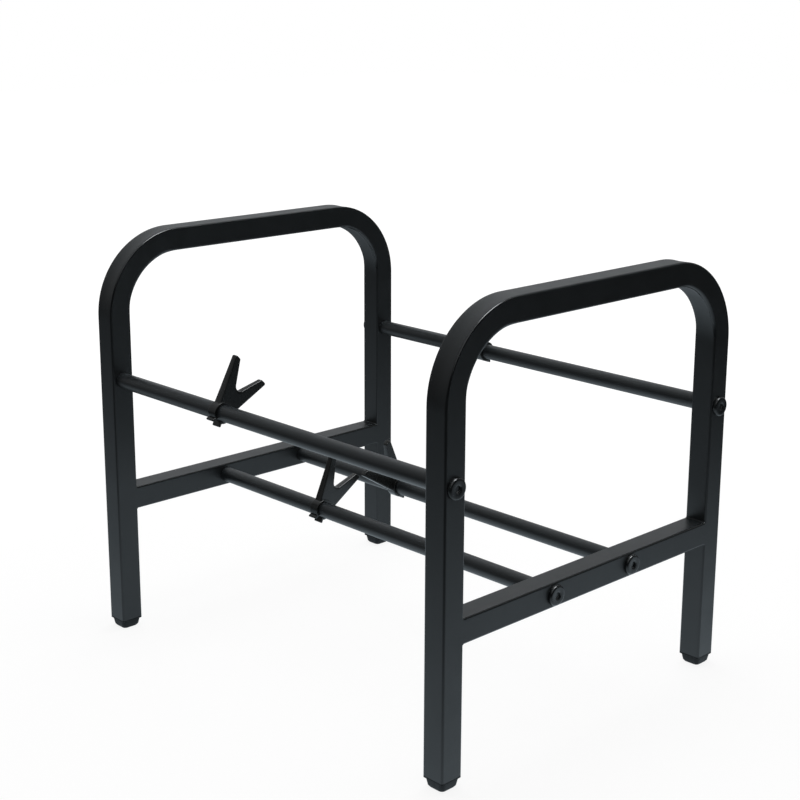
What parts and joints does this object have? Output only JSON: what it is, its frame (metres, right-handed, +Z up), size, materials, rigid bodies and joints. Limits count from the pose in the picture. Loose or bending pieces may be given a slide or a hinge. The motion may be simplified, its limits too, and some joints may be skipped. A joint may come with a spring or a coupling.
{
  "type": "record storage stand",
  "caption": "Free-standing record rack: bent square-tube end frames joined by round rods that cradle sleeves on one corner, with Y-shaped divider clips that slide along the rods.",
  "frame": {"origin": "on the floor, under the middle of the stand", "axes": "+X along the rods to the right end frame, +Y to the back, +Z up"},
  "size_m": [0.426, 0.3302, 0.355],
  "materials": {
    "frame_coat": "satin black powder coat",
    "rod_coat": "satin black powder coat",
    "insert_zinc": "bright zinc plate",
    "screw_black": "glossy black plate",
    "foot_plastic": "semi-matt moulded plastic",
    "clip_plastic": "semi-gloss moulded plastic"
  },
  "bodies": {
    "stand": {"left_hoop": "frame_coat", "right_hoop": "frame_coat", "left_crossbar": "frame_coat", "right_crossbar": "frame_coat", "upper_front_rod": "rod_coat", "upper_back_rod": "rod_coat", "lower_front_rod": "rod_coat", "lower_back_rod": "rod_coat", "upper_front_rod_inserts": "insert_zinc", "upper_back_rod_inserts": "insert_zinc", "lower_front_rod_inserts": "insert_zinc", "lower_back_rod_inserts": "insert_zinc", "left_frame_screws": "screw_black", "right_frame_screws": "screw_black", "left_front_foot": "foot_plastic", "left_back_foot": "foot_plastic", "right_front_foot": "foot_plastic", "right_back_foot": "foot_plastic"},
    "upper_front_slider": {"upper_front_clip": "clip_plastic"},
    "upper_back_slider": {"upper_back_clip": "clip_plastic"},
    "lower_front_slider": {"lower_front_clip": "clip_plastic"},
    "lower_back_slider": {"lower_back_clip": "clip_plastic"}
  },
  "joints": [
    {"name": "upper_front_clip_slide", "type": "slide", "parent": "stand", "child": "upper_front_slider", "axis": [1, 0, 0], "range_m": [-0.1315, 0.2375]},
    {"name": "upper_back_clip_slide", "type": "slide", "parent": "stand", "child": "upper_back_slider", "axis": [1, 0, 0], "range_m": [-0.13, 0.239]},
    {"name": "lower_front_clip_slide", "type": "slide", "parent": "stand", "child": "lower_front_slider", "axis": [1, 0, 0], "range_m": [-0.1275, 0.2415]},
    {"name": "lower_back_clip_slide", "type": "slide", "parent": "stand", "child": "lower_back_slider", "axis": [1, 0, 0], "range_m": [-0.128, 0.241]}
  ]
}
